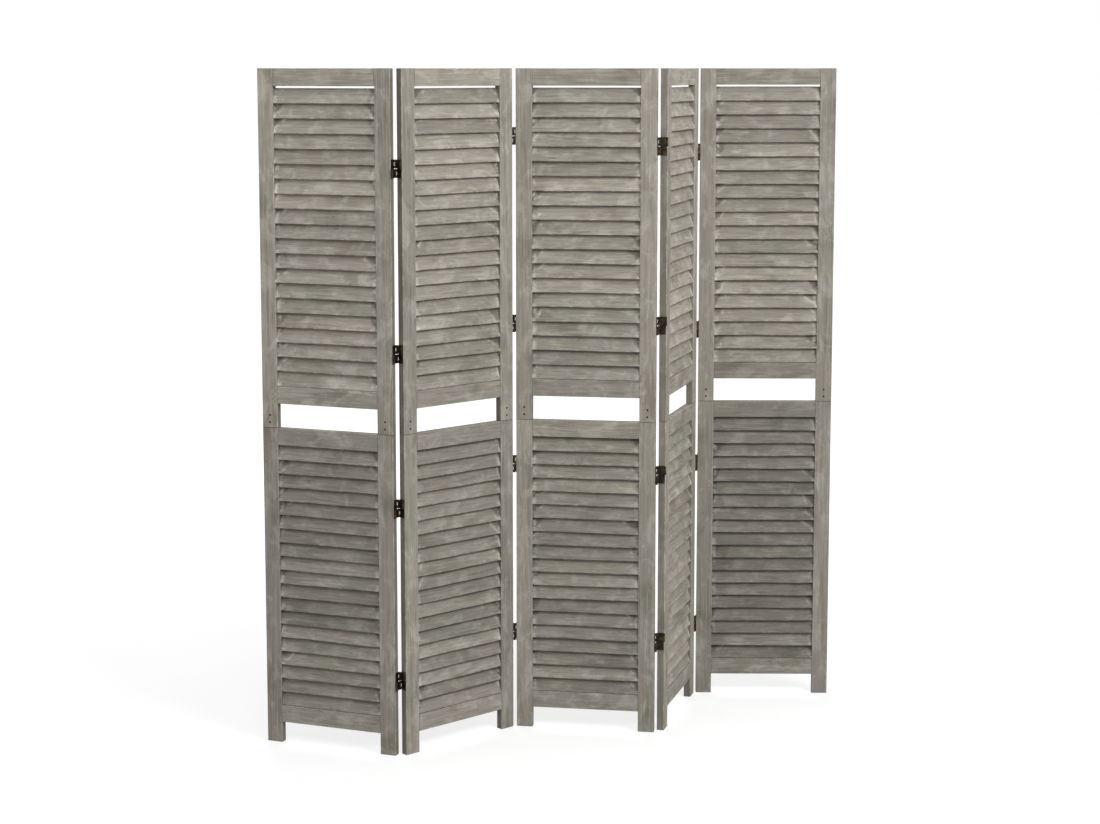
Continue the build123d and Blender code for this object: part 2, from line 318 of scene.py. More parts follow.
# How far apart two boards whose seeds differ by 1 read their patterns
SEED_SPREAD = 9.1
GRAIN_SPREAD_ALONG = 31.7
GRAIN_SPREAD_ACROSS = 17.3


def make_streak_group() -> None:
    """Wood grain: a noise drawn out along the board, different on every board."""
    group = ShaderGroup(
        "board_streaks",
        {**BOARD_INPUTS, "Streak Length": 0.1, "Streak Width": 0.004, "Waviness": 0.4},
        {"Value": "NodeSocketFloat"},
    )
    bench = group.bench
    along = bench.math("DIVIDE", group.value("Along"), group.value("Streak Length"))
    across = bench.math("DIVIDE", group.value("Across"), group.value("Streak Width"))
    depth = bench.math("DIVIDE", group.value("Depth"), group.value("Streak Width"))
    start = bench.math("MULTIPLY", group.value("Seed"), GRAIN_SPREAD_ALONG)
    side = bench.math("MULTIPLY", group.value("Seed"), GRAIN_SPREAD_ACROSS)
    place = bench.vector(bench.math("ADD", along, start), bench.math("ADD", across, side), depth)
    group.give("Value", bench.noise(place, 1.0, 3.0, 0.55, group.value("Waviness")))


def make_edge_group() -> None:
    """Wear along a board's long edges: full at an edge, and gone within a ragged reach of it."""
    group = ShaderGroup(
        "board_edge_wear",
        {**BOARD_INPUTS, **BOARD_HALVES, "Reach": 0.002, "Grain": 60.0},
        {"Value": "NodeSocketFloat"},
    )
    bench = group.bench
    side = bench.math(
        "SUBTRACT", group.value("Half Width"), bench.math("ABSOLUTE", group.value("Across"))
    )
    face = bench.math(
        "SUBTRACT", group.value("Half Depth"), bench.math("ABSOLUTE", group.value("Depth"))
    )
    place = bench.vector(
        bench.math("ADD", group.value("Along"), group.value("Seed")),
        group.value("Across"),
        group.value("Depth"),
    )
    ragged = bench.smooth(bench.noise(place, group.value("Grain"), 4.0, 0.62), 0.42, 0.72, 0.0, 1.6)
    reach = bench.math("MULTIPLY", group.value("Reach"), ragged)
    reach = bench.math("ADD", reach, 0.0002)
    group.give("Value", bench.smooth(bench.math("MAXIMUM", side, face), 0.0, reach, 1.0, 0.0))


@dataclass(frozen=True)
class WashColours:
    """The greys of the rubbed wash, from its dark rests, whose grey is also painted as shade, to
    where it is rubbed thin.
    """

    ground: Colour = srgb(150, 145, 134)
    green_grey: Colour = srgb(141, 139, 127)
    rose_grey: Colour = srgb(153, 146, 137)
    rubbed: Colour = srgb(183, 179, 169)
    chalk: Colour = srgb(206, 203, 194)
    # Dark grey of the wash's rests, pores, smudges and joints, also painted as shade on slats and
    # on frame boards' side faces.
    rest_and_shade: Colour = srgb(94, 89, 79)
    bare: Colour = srgb(120, 112, 101)


@dataclass(frozen=True)
class WashMarks:
    """The sizes of the marks in the wash, in metres."""

    line_length: float = 0.11
    line_width: float = 0.0021
    pore_length: float = 0.05
    pore_width: float = 0.0007
    smudge_length: float = 0.085
    smudge_width: float = 0.011
    corner_length: float = 0.024
    corner_height: float = 0.029
    strip_full: float = 0.004
    strip_gone: float = 0.014
    joint_full: float = 0.0004
    joint_gone: float = 0.0016
    edge_reach: float = 0.0019


def make_wash_group(colours: WashColours, marks: WashMarks) -> None:
    """The rubbed grey-brown wash over open grain, with chalky rubs and dark rests, and painted
    shade on slats and on frame boards' side faces.

    Args:
        colours: The greys that it mixes.
        marks: The sizes of its marks.
    """
    group = ShaderGroup(
        "rubbed_wash",
        {
            **BOARD_INPUTS,
            **BOARD_HALVES,
            "Tone": 1.0,
            "Rub Length": 0.06,
            "Rub Width": 0.006,
            "Edge Rub": 1.0,
            "Slat Rest": 0.0,
        },
        FINISH_OUTPUTS,
    )
    bench = group.bench
    board = {name: group.value(name) for name in BOARD_INPUTS}
    halves = {name.replace(" ", "_"): group.value(name) for name in BOARD_HALVES}
    # Slat Rest is 1 on slats and 0 on frame boards: it turns on the painted shade and chalky rests
    # of slats, and turns off the painted shade of side faces and the joint lines.
    slat_shade_and_rest = group.value("Slat Rest")
    seeded = bench.math("MULTIPLY", group.value("Seed"), SEED_SPREAD)
    seeded_along = bench.math("ADD", group.value("Along"), seeded)

    def spot(stretch: float) -> Socket:
        """A place on the board, for marks that are 1 / stretch times as long as wide."""
        return bench.vector(
            bench.math("MULTIPLY", seeded_along, stretch),
            group.value("Across"),
            group.value("Depth"),
        )

    def streaks(length: Operand, width: Operand, waviness: float) -> Socket:
        """The board's own grain at one coarseness."""
        sizes = {"Streak_Length": length, "Streak_Width": width, "Waviness": waviness}
        return bench.group("board_streaks", **board, **sizes).outputs[0]

    def veil(under: Socket, over: Sequence[float], share: Operand, mask: Socket) -> Socket:
        """A thin coat of one more colour where a mask lets it through."""
        return bench.blend(bench.math("MULTIPLY", mask, share), under, over)

    # Clouds of warmer and greener grey, and each board's own hue
    place = spot(1.0)
    clouds = bench.noise(place, 7.0, 3.0, 0.5, 0.5)
    own_hue = bench.noise(bench.vector(seeded, 4.0, seeded), 2.3, 0.0)
    hue = bench.weigh(clouds, 0.6, own_hue, 0.4)
    colour = bench.blend(bench.smooth(hue, 0.5, 0.38), colours.ground, colours.green_grey)
    colour = veil(colour, colours.rose_grey, 0.9, bench.smooth(hue, 0.52, 0.66))

    # Grain: long soft bands, finer lines over them, and open pores
    bands = streaks(group.value("Rub Length"), group.value("Rub Width"), 1.1)
    lines = streaks(marks.line_length, marks.line_width, 0.35)
    fine = streaks(marks.pore_length, marks.pore_width, 0.25)
    colour = veil(colour, colours.bare, 0.55, bench.smooth(bands, 0.49, 0.27))
    colour = veil(colour, colours.bare, 0.38, bench.smooth(lines, 0.47, 0.29))
    colour = veil(colour, colours.bare, 0.5, bench.smooth(clouds, 0.47, 0.34))
    pores = bench.smooth(fine, 0.43, 0.26)
    colour = veil(colour, colours.rest_and_shade, 0.3, pores)

    # Wash rubbed thin in drawn-out patches, broken up by the grain
    patches = bench.smooth(bench.noise(spot(0.6), 27.0, 5.0, 0.68, 0.5), 0.47, 0.66)
    thin = bench.smooth(bands, 0.45, 0.68)
    thin = bench.math("MULTIPLY", thin, bench.smooth(lines, 0.34, 0.6, 0.25, 1.0))
    rubbed = bench.weigh(thin, 0.5, patches, 0.62)
    rubbed = bench.math("MULTIPLY", rubbed, bench.smooth(fine, 0.32, 0.56, 0.3, 1.0))
    colour = bench.blend(rubbed, colour, colours.rubbed)
    smudges = streaks(marks.smudge_length, marks.smudge_width, 1.1)
    smudges = bench.smooth(smudges, 0.6, 0.76)
    colour = veil(colour, colours.rest_and_shade, 0.42, smudges)

    # Chalky flecks, thickest near a board's long edges
    side = bench.math("DIVIDE", bench.math("ABSOLUTE", group.value("Across")), halves["Half_Width"])
    flecks = bench.noise(spot(0.45), 210.0, 3.0, 0.62)
    sparse = bench.smooth(bench.noise(place, 11.0, 2.0), 0.5, 0.64)
    flecks = bench.math("MULTIPLY", bench.smooth(flecks, 0.56, 0.68), sparse)
    flecks = bench.math("MULTIPLY", flecks, bench.smooth(side, 0.2, 1.0, 0.35, 1.0))
    colour = veil(colour, colours.chalk, 0.55, flecks)

    # Painted shade with some grime: a slat darkens up toward the slat above it
    up_share = bench.math("DIVIDE", group.value("Across"), halves["Half_Width"])
    under = bench.smooth(up_share, -0.4, 1.0, 0.0, 0.2)
    colour = veil(colour, colours.rest_and_shade, slat_shade_and_rest, under)

    # Painted shade with dark rests of wash in a slat's upper corners, by the stile and under the
    # slat above, with a chalky line round them
    end = bench.math(
        "SUBTRACT", group.value("Half Length"), bench.math("ABSOLUTE", group.value("Along"))
    )
    top = bench.math("SUBTRACT", group.value("Half Width"), group.value("Across"))
    corner = bench.math("DIVIDE", end, marks.corner_length)
    corner = bench.math("ADD", corner, bench.math("DIVIDE", top, marks.corner_height))
    corner = bench.math("ADD", corner, bench.math("MULTIPLY", bench.noise(place, 26.0, 3.0), 1.8))
    which_end = bench.math("MULTIPLY", bench.math("SIGN", group.value("Along")), 3.3)
    own_corner = bench.noise(bench.vector(seeded, which_end, 1.5), 2.7, 0.0)
    corner = bench.math("ADD", corner, bench.smooth(own_corner, 0.3, 0.7, -0.45, 1.0))
    rest_and_shade = bench.math("MULTIPLY", bench.smooth(corner, 1.95, 1.5), slat_shade_and_rest)
    colour = veil(colour, colours.rest_and_shade, 0.7, rest_and_shade)
    line = bench.math("ABSOLUTE", bench.math("SUBTRACT", corner, 2.1))
    line = bench.math("MULTIPLY", bench.smooth(line, 0.22, 0.02), slat_shade_and_rest)
    line = bench.math("MULTIPLY", line, bench.smooth(patches, 0.1, 0.7))
    colour = veil(colour, colours.chalk, 0.55, line)

    # Chalky strips at some of a slat's ends, where the wash pooled and dried
    strip = bench.smooth(end, marks.strip_full, marks.strip_gone, 1.0, 0.0)
    some = bench.smooth(bench.noise(place, 34.0, 4.0, 0.72), 0.47, 0.6)
    strip = bench.math("MULTIPLY", bench.math("MULTIPLY", strip, some), slat_shade_and_rest)
    colour = veil(colour, colours.chalk, 0.68, strip)

    # Painted shade on a frame board's narrow side faces, darker than its front and back
    flat = bench.math("DIVIDE", bench.math("ABSOLUTE", group.value("Depth")), halves["Half_Depth"])
    side_face_shade = bench.math("MULTIPLY", bench.smooth(side, 0.975, 0.992), bench.smooth(flat, 0.98, 0.9))
    side_face_shade = bench.math("MULTIPLY", side_face_shade, bench.math("SUBTRACT", 1.0, slat_shade_and_rest))
    colour = veil(colour, colours.rest_and_shade, 0.5, side_face_shade)

    # Dark joint lines at a board's ends, and long edges rubbed through
    joint = bench.smooth(end, marks.joint_full, marks.joint_gone, 1.0, 0.0)
    joint = bench.math("MULTIPLY", joint, bench.math("SUBTRACT", 1.0, slat_shade_and_rest))
    colour = veil(colour, colours.rest_and_shade, 0.75, joint)
    worn = bench.group(
        "board_edge_wear", **board, **halves, Reach=marks.edge_reach, Grain=48.0
    ).outputs[0]
    worn = bench.math("MULTIPLY", worn, group.value("Edge Rub"), clamp=True)
    colour = veil(colour, colours.chalk, 0.72, worn)

    # The board's own lightness last, so that neighbours differ, times its tone with its painted
    # light and shade
    tone = bench.noise(bench.vector(seeded, seeded, 0.5), 3.1, 1.0)
    shade = bench.math("MULTIPLY", bench.smooth(tone, 0.3, 0.7, 0.84, 1.1), group.value("Tone"))
    colour = bench.blend(1.0, colour, bench.vector(shade, shade, shade), "MULTIPLY")
    group.give("Color", colour)

    rough = bench.smooth(rubbed, 0.0, 0.8, 0.84, 0.68)
    rough = bench.math("SUBTRACT", rough, bench.math("MULTIPLY", worn, 0.08))
    group.give("Roughness", rough)
    height = bench.math("MULTIPLY", bench.math("SUBTRACT", fine, 0.5), 0.6)
    height = bench.math("ADD", height, bench.math("MULTIPLY", lines, 0.5))
    height = bench.math("SUBTRACT", height, bench.math("MULTIPLY", pores, 0.35))
    height = bench.math("ADD", height, bench.math("MULTIPLY", rest_and_shade, 0.2))
    group.give("Height", height)


def make_patina_group() -> None:
    """Bronzed steel: near black, rubbed to brown where it is handled."""
    group = ShaderGroup(
        "bronze_patina",
        {"X": 0.0, "Y": 0.0, "Z": 0.0, "Rubbed": 0.5},
        FINISH_OUTPUTS,
    )
    bench = group.bench
    place = bench.vector(group.value("X"), group.value("Y"), group.value("Z"))
    cloud = bench.noise(place, 95.0, 4.0, 0.6, 0.8)
    speck = bench.noise(place, 900.0, 2.0, 0.6)
    drawn_out = bench.math("MULTIPLY", group.value("Z"), 0.12)
    scratch_place = bench.vector(group.value("X"), group.value("Y"), drawn_out)
    scratch = bench.noise(scratch_place, 1500.0, 2.0, 0.5)
    brown = bench.math("MULTIPLY", bench.smooth(cloud, 0.47, 0.68), group.value("Rubbed"))
    colour = bench.blend(brown, srgb(44, 38, 31), srgb(118, 90, 56))
    colour = bench.blend(bench.smooth(speck, 0.56, 0.7, 0.0, 0.6), colour, srgb(26, 23, 20))
    group.give("Color", colour)
    rough = bench.smooth(cloud, 0.35, 0.7, 0.52, 0.34)
    group.give("Roughness", bench.math("ADD", rough, bench.math("MULTIPLY", speck, 0.12)))
    group.give("Height", bench.weigh(speck, 0.4, scratch, 0.6))


# Sizes of the boards, as in the frame


@dataclass(frozen=True)
class TonesAndLight:
    """How light the wash is on a half frame's boards and on its slats, about 1: partly the wash's
    own tone, partly painted light and shade, lighter on the panel turned to the key lamp and darker
    on the lower halves.
    """

    boards: float
    slats: float


@dataclass(frozen=True)
class PanelPlace:
    """Where a panel stands: its left edge's middle on the floor, and its turn in plan."""

    number: int
    x: float
    y: float
    turn: float
    tones_and_light: dict[Half, TonesAndLight]

    @property
    def matrix(self) -> Matrix:
        """From the panel's own axes to the row frame."""
        return Matrix.Translation((self.x, self.y, 0.0)) @ Matrix.Rotation(
            math.radians(self.turn), 4, "Z"
        )


@dataclass(frozen=True)
class HalfFrame:
    """One half frame: where its boards lie in height, and how many slats it has."""

    half: Half
    foot: float
    height: float
    rail_base: float
    slat_count: int
    top_slit: float


@dataclass(frozen=True)
class BoardSizes:
    """The sizes of the boards that every panel shares, in metres."""

    panel_width: float = 0.350
    thick: float = 0.018
    stile: float = 0.0405
    rail: float = 0.042
    slat_width: float = 0.0375
    slat_thick: float = 0.0045
    slat_tilt: float = 18.5
    slat_length: float = 0.2787
    slat_round: float = 0.001
    slat_rest_gap: float = 0.0003

    @property
    def slat_rise(self) -> float:
        """How tall a tilted slat stands."""
        tilt = math.radians(self.slat_tilt)
        return self.slat_width * math.cos(tilt) + self.slat_thick * math.sin(tilt)

    def slat_middles(self, frame_half: HalfFrame) -> list[float]:
        """Heights of the slats' middles.

        Args:
            frame_half: The half frame that they are in.

        Returns:
            The heights, from the lowest up.
        """
        lowest = frame_half.rail_base + self.rail + self.slat_rest_gap + self.slat_rise / 2
        highest = frame_half.foot + frame_half.height - self.rail
        highest -= frame_half.top_slit + self.slat_rise / 2
        pitch = (highest - lowest) / (frame_half.slat_count - 1)
        return [lowest + pitch * i for i in range(frame_half.slat_count)]


def panel_tones_and_light(
    upper_boards: float, upper_slats: float, lower_boards: float, lower_slats: float
) -> dict[Half, TonesAndLight]:
    """The tone values of one panel's two half frames, painted light and shade included.

    Args:
        upper_boards: The upper stiles and rails.
        upper_slats: The upper slats.
        lower_boards: The lower stiles and rails.
        lower_slats: The lower slats.

    Returns:
        The tones by half.
    """
    return {
        Half.UPPER: TonesAndLight(upper_boards, upper_slats),
        Half.LOWER: TonesAndLight(lower_boards, lower_slats),
    }


# Each panel's tone values hold painted light and shade as well as the wash's own tone: the panel
# turned to the key lamp is lighter, and every lower half darker.
PLACES = (
    PanelPlace(1, -0.747886, 0.053978, -37.1, panel_tones_and_light(1.02, 1.18, 0.95, 0.83)),
    PanelPlace(2, -0.451312, -0.158699, 26.9, panel_tones_and_light(0.98, 0.98, 0.95, 0.83)),
    PanelPlace(3, -0.122930, -0.000106, -25.2, panel_tones_and_light(0.97, 1.01, 0.95, 0.87)),
    PanelPlace(4, 0.212058, -0.143778, 57.8, panel_tones_and_light(1.15, 1.24, 1.1, 1.14)),
    PanelPlace(5, 0.415855, 0.158820, -17.0, panel_tones_and_light(0.84, 0.95, 0.82, 0.68)),
)
HALVES = (
    HalfFrame(Half.UPPER, 0.790, 0.870, 0.850, 20, 0.0045),
    HalfFrame(Half.LOWER, 0.0, 0.790, 0.052, 19, 0.0005),
)


# Finishes


@dataclass(frozen=True)
class SeedSteps:
    """How far a board's seed moves with its side, its panel and its half frame."""

    side: float
    panel: float
    foot: float
    start: float = 0.0

    def seed(self, bench: NodeBench, side: Socket, place: PanelPlace, half: HalfFrame) -> Socket:
        """Give a board its own seed.

        Args:
            bench: The bench of the material's node tree.
            side: -1 on one of the pair of boards, and 1 on the other.
            place: The panel's place.
            half: The half frame.

        Returns:
            The seed's socket.
        """
        shared = place.number * self.panel + half.foot * self.foot + self.start
        return bench.math("ADD", bench.math("MULTIPLY", side, self.side), shared)


STILE_SEEDS = SeedSteps(side=0.37, panel=1.31, foot=2.9)
RAIL_SEEDS = SeedSteps(side=0.53, panel=2.17, foot=3.7, start=5.0)


@dataclass(frozen=True)
class WashedWood:
    """The rubbed wash on one kind of board of one half frame of one panel."""

    sizes: BoardSizes
    rub_length: float
    rub_width: float
    edge_rub: float
    slat_shade_and_rest: float = 0.0
    gloss: float = 0.3
    bump: float = 0.00022

    def finish(
        self, bench: NodeBench, board: dict[str, Operand], halves: dict[str, float], tone: Operand
    ) -> None:
        """Lay the wash on a board whose own coordinates are known.

        Args:
            bench: The bench of the material's node tree.
            board: Along, Across, Depth and Seed.
            halves: Half Length, Half Width and Half Depth, in metres.
            tone: How light the board is, about 1, painted light and shade included.
        """
        wash = bench.group(
            "rubbed_wash",
            **board,
            **halves,
            Tone=tone,
            Rub_Length=self.rub_length,
            Rub_Width=self.rub_width,
            Edge_Rub=self.edge_rub,
            Slat_Rest=self.slat_shade_and_rest,
        )
        shader = principled(bench)
        bench.feed(shader.inputs["Base Color"], wash.outputs["Color"])
        bench.feed(shader.inputs["Roughness"], wash.outputs["Roughness"])
        shader.inputs["Specular IOR Level"].default_value = self.gloss
        bump(bench, shader, wash.outputs["Height"], self.bump)

    def panel_axes(self, bench: NodeBench, place: PanelPlace) -> tuple[Socket, Socket, Socket]:
        """The panel's own right, back and up, from Object coordinates.

        Args:
            bench: The bench of the material's node tree.
            place: The panel's place.

        Returns:
            The three sockets, in metres.
        """
        where = bench.add("ShaderNodeTexCoord").outputs["Object"]
        turned = bench.add("ShaderNodeMapping", vector_type="TEXTURE")
        turned.inputs["Location"].default_value = (place.x, place.y, 0.0)
        turned.inputs["Rotation"].default_value = (0.0, 0.0, math.radians(place.turn))
        bench.feed(turned.inputs["Vector"], where)
        return bench.parts(turned.outputs[0])

    def for_stiles(self, place: PanelPlace, half: HalfFrame) -> bpy.types.Material:
        """The wash with its grain up the two stiles of a half frame.

        Args:
            place: The panel's place.
            half: The half frame.

        Returns:
            The material.
        """
        name = f"wash_panel_{place.number}_{half.half.value}_stiles"
        bench = new_material(name)
        right, back, up = self.panel_axes(bench, place)
        middle = self.sizes.panel_width / 2
        from_middle = bench.math("SUBTRACT", right, middle)
        side = bench.math("SIGN", from_middle)
        centre = bench.math("MULTIPLY", side, middle - self.sizes.stile / 2)
        board = {
            "Along": bench.math("SUBTRACT", up, half.foot + half.height / 2),
            "Across": bench.math("SUBTRACT", from_middle, centre),
            "Depth": back,
            "Seed": STILE_SEEDS.seed(bench, side, place, half),
        }
        halves = {
            "Half_Length": half.height / 2,
            "Half_Width": self.sizes.stile / 2,
            "Half_Depth": self.sizes.thick / 2,
        }
        self.finish(bench, board, halves, place.tones_and_light[half.half].boards)
        return bpy.data.materials[name]

    def for_rails(self, place: PanelPlace, half: HalfFrame) -> bpy.types.Material:
        """The wash with its grain along the two rails of a half frame.

        Args:
            place: The panel's place.
            half: The half frame.

        Returns:
            The material.
        """
        name = f"wash_panel_{place.number}_{half.half.value}_rails"
        bench = new_material(name)
        right, back, up = self.panel_axes(bench, place)
        low = half.rail_base + self.sizes.rail / 2
        high = half.foot + half.height - self.sizes.rail / 2
        middle = (low + high) / 2
        from_middle = bench.math("SUBTRACT", up, middle)
        side = bench.math("SIGN", from_middle)
        centre = bench.math("MULTIPLY", side, (high - low) / 2)
        board = {
            "Along": bench.math("SUBTRACT", right, self.sizes.panel_width / 2),
            "Across": bench.math("SUBTRACT", from_middle, centre),
            "Depth": back,
            "Seed": RAIL_SEEDS.seed(bench, side, place, half),
        }
        halves = {
            "Half_Length": self.sizes.panel_width / 2 - self.sizes.stile,
            "Half_Width": self.sizes.rail / 2,
            "Half_Depth": self.sizes.thick / 2,
        }
        self.finish(bench, board, halves, place.tones_and_light[half.half].boards)
        return bpy.data.materials[name]

    def for_slats(self) -> bpy.types.Material:
        """The wash with its grain along each slat, from the slats' own coordinates.

        Returns:
            The material, which every slat shares.
        """
        name = "wash_slats"
        bench = new_material(name)
        own = bench.add("ShaderNodeAttribute", attribute_name="slat_place")
        along, depth, across = bench.parts(own.outputs["Vector"])
        seed = bench.add("ShaderNodeAttribute", attribute_name="slat_seed").outputs["Fac"]
        tone = bench.add("ShaderNodeAttribute", attribute_name="slat_tone").outputs["Fac"]
        board = {"Along": along, "Across": across, "Depth": depth, "Seed": seed}
        halves = {
            "Half_Length": self.sizes.panel_width / 2 - self.sizes.stile,
            "Half_Width": self.sizes.slat_width / 2,
            "Half_Depth": self.sizes.slat_thick / 2,
        }
        self.finish(bench, board, halves, tone)
        return bpy.data.materials[name]


@dataclass(frozen=True)
class BronzedSteel:
    """The dark bronzed steel of the hinges and screws."""

    name: str
    rubbed: float
    metallic: float = 0.85
    bump: float = 0.00004

    def material(self) -> bpy.types.Material:
        """Make the finish.

        Returns:
            The material.
        """
        bench = new_material(self.name)
        x, y, z = bench.parts(bench.add("ShaderNodeTexCoord").outputs["Object"])
        patina = bench.group("bronze_patina", X=x, Y=y, Z=z, Rubbed=self.rubbed)
        shader = principled(bench)
        bench.feed(shader.inputs["Base Color"], patina.outputs["Color"])
        bench.feed(shader.inputs["Roughness"], patina.outputs["Roughness"])
        shader.inputs["Metallic"].default_value = self.metallic
        bump(bench, shader, patina.outputs["Height"], self.bump)
        return bpy.data.materials[self.name]


@dataclass(frozen=True)
class BareDowelWood:
    """The unwashed turned wood of the joining dowels."""

    name: str = "bare_dowel_wood"

    def material(self) -> bpy.types.Material:
        """Make the finish.

        Returns:
            The material.
        """
        bench = new_material(self.name)
        x, y, z = bench.parts(bench.add("ShaderNodeTexCoord").outputs["Object"])
        grain = bench.group(
            "board_streaks", Along=z, Across=x, Depth=y, Streak_Length=0.05, Streak_Width=0.0012
        ).outputs[0]
        shader = principled(bench)
        shares = bench.smooth(grain, 0.35, 0.65)
        colour = bench.blend(shares, srgb(186, 158, 116), srgb(222, 198, 158))
        bench.feed(shader.inputs["Base Color"], colour)
        bench.feed(shader.inputs["Roughness"], bench.smooth(grain, 0.3, 0.7, 0.7, 0.55))
        bump(bench, shader, grain, 0.0001)
        return bpy.data.materials[self.name]


def new_material(name: str) -> NodeBench:
    """Start an empty node material.

    Args:
        name: The material's name.

    Returns:
        The bench of its node tree.
    """
    material = bpy.data.materials.new(name)
    material.use_nodes = True
    material.node_tree.nodes.clear()
    return NodeBench(material.node_tree)


def principled(bench: NodeBench) -> bpy.types.Node:
    """Add the material's shader and output.

    Args:
        bench: The bench of the material's node tree.

    Returns:
        The Principled BSDF node.
    """
    shader = bench.add("ShaderNodeBsdfPrincipled")
    output = bench.add("ShaderNodeOutputMaterial")
    bench.feed(output.inputs["Surface"], shader.outputs[0])
    return shader


def bump(bench: NodeBench, shader: bpy.types.Node, height: Socket, distance: float) -> None:
    """Raise the shader's surface by a height.

    Args:
        bench: The bench of the material's node tree.
        shader: The Principled BSDF node.
        height: The height, from 0 to 1.
        distance: How far 1 stands out, in metres.
    """
    node = bench.add("ShaderNodeBump")
    node.inputs["Strength"].default_value = BUMP_STRENGTH
    node.inputs["Distance"].default_value = distance
    bench.feed(node.inputs["Height"], height)
    bench.feed(shader.inputs["Normal"], node.outputs[0])


def clear_selection() -> None:
    """Leave object mode with nothing selected."""
    if bpy.context.object and bpy.context.object.mode != "OBJECT":
        bpy.ops.object.mode_set(mode="OBJECT")
    bpy.ops.object.select_all(action="DESELECT")


# The louvres


@dataclass
class SlatMaker:
    """Models one slat, and copies it for each place in a louvre."""

    sizes: BoardSizes
    length_cuts: int = 6
    round_steps: int = 1
    warp: float = 0.0036
    warp_grain: float = 0.11
    loose_turn: float = 0.9
    loose_lean: float = 0.16
    loose_rise: float = 0.0003
    grip_fade: float = 0.03
    rail_warp_share: float = 0.3
    upright_grain_share: float = 1.4
    smooth_angle: float = 40.0
    pattern_span: float = 40.0
    tone_spread: tuple[float, float] = (0.93, 1.05)
    chance: random.Random = field(default_factory=lambda: random.Random(SLAT_CHANCE_SEED))
    master: Optional[bpy.types.Object] = None

    def model(self) -> bpy.types.Object:
        """Shape the slat that all others are copied from.

        Returns:
            The slat, lying along X at the origin with its width up.
        """
        clear_selection()
        bpy.ops.mesh.primitive_cube_add(size=1.0, location=(0.0, 0.0, 0.0))
        slat = bpy.context.object
        slat.name = "slat_pattern"
        bpy.ops.object.mode_set(mode="EDIT")
        bpy.ops.mesh.select_all(action="SELECT")
        size = (self.sizes.slat_length, self.sizes.slat_thick, self.sizes.slat_width)
        bpy.ops.transform.resize(value=size)
        self.select_long_edges(slat)
        bpy.ops.mesh.bevel(offset=self.sizes.slat_round, segments=self.round_steps, affect="EDGES")
        for i in range(1, self.length_cuts + 1):
            at = self.sizes.slat_length * (i / (self.length_cuts + 1) - 0.5)
            bpy.ops.mesh.select_all(action="SELECT")
            bpy.ops.mesh.bisect(plane_co=(at, 0.0, 0.0), plane_no=(1.0, 0.0, 0.0))
        bpy.ops.object.mode_set(mode="OBJECT")
        own = slat.data.attributes.new("slat_place", "FLOAT_VECTOR", "POINT")
        own.data.foreach_set("vector", [part for v in slat.data.vertices for part in v.co])
        self.master = slat
        return slat

    def select_long_edges(self, slat: bpy.types.Object) -> None:
        """Select the four edges along the slat.

        Args:
            slat: The slat, in edit mode.
        """
        bpy.ops.mesh.select_mode(type="EDGE")
        bpy.ops.mesh.select_all(action="DESELECT")
        bpy.ops.object.mode_set(mode="OBJECT")
        points = slat.data.vertices
        for edge in slat.data.edges:
            ends = [points[i].co for i in edge.vertices]
            edge.select = abs(ends[0].x - ends[1].x) > self.sizes.slat_length / 2
        bpy.ops.object.mode_set(mode="EDIT")

    @staticmethod
    def mark(slat: bpy.types.Object, name: str, value: float) -> None:
        """Store one number on every point of a slat, for its material to read."""
        kept = slat.data.attributes.new(name, "FLOAT", "POINT")
        kept.data.foreach_set("value", [value] * len(slat.data.vertices))

    def louvre(
        self, place: PanelPlace, half: HalfFrame, tone: float, finish: bpy.types.Material
    ) -> bpy.types.Object:
        """Copy the slat up a half frame, and warp each copy a little.

        Args:
            place: The panel's place.
            half: The half frame.
            tone: How light its slats are, about 1, painted light and shade included.
            finish: The slats' material.

        Returns:
            The louvre as one piece, in the row frame.
        """
        copies = []
        middles = self.sizes.slat_middles(half)
        for height in middles:
            slat = self.master.copy()
            slat.data = self.master.data.copy()
            bpy.context.scene.collection.objects.link(slat)
            slat.matrix_world = self.seat(height, height in (middles[0], middles[-1]))
            self.mark(slat, "slat_seed", self.chance.uniform(0.0, self.pattern_span))
            # Each slat's tone: its half frame's tone with painted light and shade, varied at
            # random.
            self.mark(slat, "slat_tone", tone * self.chance.uniform(*self.tone_spread))
            copies.append(slat)
        clear_selection()
        for slat in copies:
            slat.select_set(True)
        bpy.context.view_layer.objects.active = copies[0]
        bpy.ops.object.join()
        louvre = bpy.context.object
        louvre.name = f"panel_{place.number}_{half.half.value}_louvre"
        bpy.ops.object.transform_apply(location=True, rotation=True, scale=True)
        self.warp_between_grooves(louvre, half)
        louvre.data.transform(place.matrix)
        louvre.data.materials.clear()
        louvre.data.materials.append(finish)
        bpy.ops.object.shade_smooth_by_angle(angle=math.radians(self.smooth_angle))
        return louvre

    def seat(self, height: float, close: bool) -> Matrix:
        """Where one slat sits in its grooves, with the little play that they leave it.

        Args:
            height: The height of its middle.
            close: Whether it lies close to a rail, and so has no play.

        Returns:
            From the slat's own axes to the panel's.
        """
        play = 0.0 if close else 1.0
        turn = self.sizes.slat_tilt + play * self.chance.uniform(-1.0, 1.0) * self.loose_turn
        lean = play * self.chance.uniform(-1.0, 1.0) * self.loose_lean
        rise = play * self.chance.uniform(-1.0, 1.0) * self.loose_rise
        middle = Matrix.Translation((self.sizes.panel_width / 2, 0.0, height + rise))
        leaned = Matrix.Rotation(math.radians(lean), 4, "Y")
        return middle @ leaned @ Matrix.Rotation(math.radians(-turn), 4, "X")

